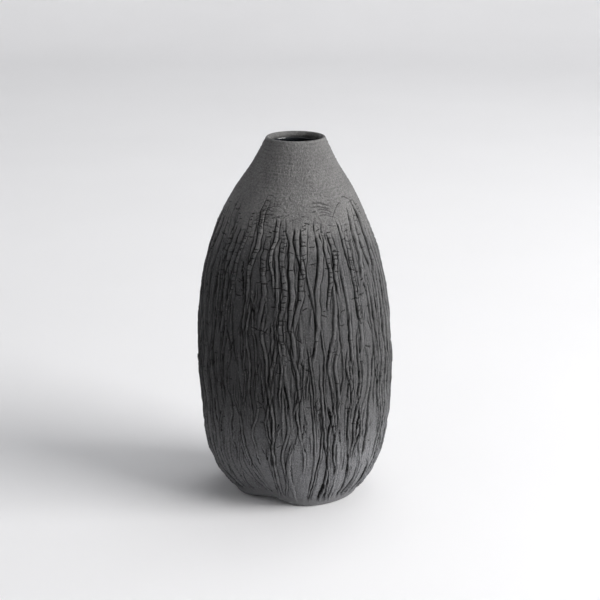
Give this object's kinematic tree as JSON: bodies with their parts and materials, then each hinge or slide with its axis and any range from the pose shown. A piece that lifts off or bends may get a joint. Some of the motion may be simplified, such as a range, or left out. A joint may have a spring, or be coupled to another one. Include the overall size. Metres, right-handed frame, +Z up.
{
  "type": "stoneware pottery vase",
  "caption": "Tall closed-in black stoneware vase with a bark-like wrinkled skin, a smooth shoulder cone, a small round glazed mouth and a foot pinched in at its sides.",
  "frame": {"origin": "centre of the round outline at the height of the rest face, on the vase's axis", "axes": "+Z up along the vase's axis from the foot to the mouth; -Y is the front of the picture and +X is to the right there; one foot pinch lies at 240 degrees from +X and the other opposite it"},
  "size_m": [0.159, 0.159, 0.3],
  "materials": {
    "raw_clay": "unglazed fired dark stoneware body, dry and slightly gritty",
    "bark_stoneware": "unglazed charcoal-black stoneware with a raised bark-like relief, dull sheen on the ridges",
    "sandy_stoneware": "unglazed dark grey stoneware with a fine sandy grog texture",
    "black_glaze": "glossy black glaze"
  },
  "bodies": {
    "root": {"floor_slab": "raw_clay", "seam_coil": "raw_clay", "core_wall": "raw_clay", "bark_skin": "bark_stoneware", "shoulder_cone": "sandy_stoneware", "glaze_lining": "black_glaze"}
  },
  "joints": []
}
